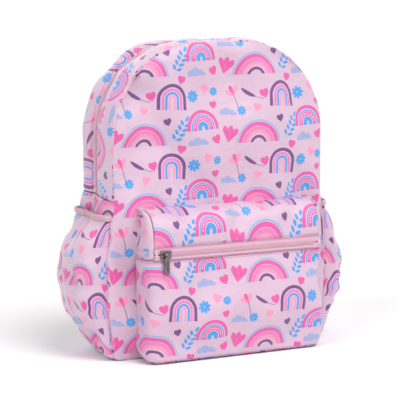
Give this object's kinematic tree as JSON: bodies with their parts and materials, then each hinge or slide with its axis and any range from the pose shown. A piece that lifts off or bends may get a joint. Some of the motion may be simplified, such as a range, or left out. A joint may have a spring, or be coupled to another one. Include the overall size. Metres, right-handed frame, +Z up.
{
  "type": "school backpack",
  "caption": "Child's school backpack with a domed main compartment that opens by a zip over the top, a zipped front pocket, elasticated side pockets, shoulder straps and a haul loop.",
  "frame": {"origin": "middle of the underside of the base", "axes": "+Z up, the front panel and its pocket face -Y, +X towards the right when looking at the front"},
  "size_m": [0.398, 0.197, 0.4],
  "materials": {
    "printed_fabric": "plain-woven polyester with an all-over print, slight sheen",
    "back_mesh": "padded spacer mesh",
    "lining_fabric": "thin plain polyester lining",
    "foam": "closed-cell foam sheet",
    "zip_tape": "woven zip tape",
    "zip_coil": "nylon coil",
    "zip_metal": "dark nickel plate, polished",
    "elastic_binding": "ribbed elastic binding",
    "webbing": "woven polyester webbing",
    "buckle_plastic": "moulded acetal, fine texture"
  },
  "bodies": {
    "shell": {"back_panel": "back_mesh", "back_foam": "foam", "back_lining": "lining_fabric", "base_panel": "printed_fabric", "front_panel_lower": "printed_fabric", "side_panel_left": "printed_fabric", "side_panel_right": "printed_fabric", "front_gusset_ends": "printed_fabric", "rear_gusset": "printed_fabric", "body_lining": "lining_fabric", "main_zip_tape_front_ends": "zip_tape", "main_zip_tape_rear": "zip_tape", "main_zip_coil_front_ends": "zip_coil", "main_zip_coil_rear": "zip_coil", "main_zip_stops": "zip_metal", "front_pocket_face": "printed_fabric", "front_pocket_top": "printed_fabric", "front_pocket_bottom": "printed_fabric", "front_pocket_side_left": "printed_fabric", "front_pocket_side_right": "printed_fabric", "pocket_zip_tape_upper": "zip_tape", "pocket_zip_tape_lower": "zip_tape", "pocket_zip_coil_upper": "zip_coil", "pocket_zip_coil_lower": "zip_coil", "pocket_zip_stops": "zip_metal", "side_pocket_left": "printed_fabric", "side_pocket_right": "printed_fabric", "side_pocket_binding_left": "elastic_binding", "side_pocket_binding_right": "elastic_binding", "strap_yoke": "printed_fabric", "anchor_tab_left": "printed_fabric", "anchor_tab_right": "printed_fabric"},
    "front_flap": {"front_panel_upper": "printed_fabric", "front_gusset_upper": "printed_fabric", "flap_lining": "lining_fabric", "main_zip_tape_front": "zip_tape", "main_zip_coil_front": "zip_coil"},
    "main_slider": {"main_slider": "zip_metal"},
    "main_pull": {"main_pull": "zip_metal"},
    "pocket_slider": {"pocket_slider": "zip_metal"},
    "pocket_pull": {"pocket_pull": "zip_metal"},
    "haul_loop": {"haul_loop": "webbing"},
    "strap_left": {"strap_cover_left": "printed_fabric", "strap_foam_left": "foam", "ladder_loop_left": "webbing", "ladder_lock_left": "buckle_plastic"},
    "strap_right": {"strap_cover_right": "printed_fabric", "strap_foam_right": "foam", "ladder_loop_right": "webbing", "ladder_lock_right": "buckle_plastic"},
    "webbing_left": {"lower_webbing_left": "webbing"},
    "webbing_right": {"lower_webbing_right": "webbing"}
  },
  "joints": [
    {"name": "front_opens", "type": "hinge", "parent": "shell", "child": "front_flap", "pos_m": [0, -0.057, 0.262], "axis": [1, 0, 0], "range_deg": [0, 45]},
    {"name": "main_slider_travel", "type": "slide", "parent": "shell", "child": "main_slider", "axis": [0, 0, 1], "range_m": [0, 0.051], "stiffness_N_per_m": 5},
    {"name": "main_pull_swing", "type": "hinge", "parent": "main_slider", "child": "main_pull", "pos_m": [0.15335, 0.005, 0.221], "axis": [0, -1, 0], "range_deg": [0, 150]},
    {"name": "pocket_slider_travel", "type": "slide", "parent": "shell", "child": "pocket_slider", "axis": [1, 0, 0], "range_m": [-0.0025, 0.2155], "stiffness_N_per_m": 5},
    {"name": "pocket_pull_swing", "type": "hinge", "parent": "pocket_slider", "child": "pocket_pull", "pos_m": [-0.1065, -0.111, 0.14], "axis": [-1, 0, 0], "range_deg": [0, 150]},
    {"name": "haul_loop_lift", "type": "hinge", "parent": "shell", "child": "haul_loop", "pos_m": [0, 0.06, 0.376], "axis": [1, 0, 0], "range_deg": [0, 145]},
    {"name": "strap_left_swing", "type": "hinge", "parent": "shell", "child": "strap_left", "pos_m": [-0.044, 0.0652, 0.344], "axis": [1, 0, 0], "range_deg": [0, 10]},
    {"name": "strap_right_swing", "type": "hinge", "parent": "shell", "child": "strap_right", "pos_m": [0.044, 0.0652, 0.344], "axis": [1, 0, 0], "range_deg": [0, 10]},
    {"name": "webbing_left_swing", "type": "hinge", "parent": "shell", "child": "webbing_left", "pos_m": [-0.07, 0.0662, 0.042], "axis": [-1, 0, 0], "range_deg": [0, 37]},
    {"name": "webbing_right_swing", "type": "hinge", "parent": "shell", "child": "webbing_right", "pos_m": [0.07, 0.0662, 0.042], "axis": [-1, 0, 0], "range_deg": [0, 37]}
  ],
  "couplings": [
    {"joint": "webbing_left_swing", "follows": "strap_left_swing", "ratio": 3.7},
    {"joint": "webbing_right_swing", "follows": "strap_right_swing", "ratio": 3.7}
  ]
}
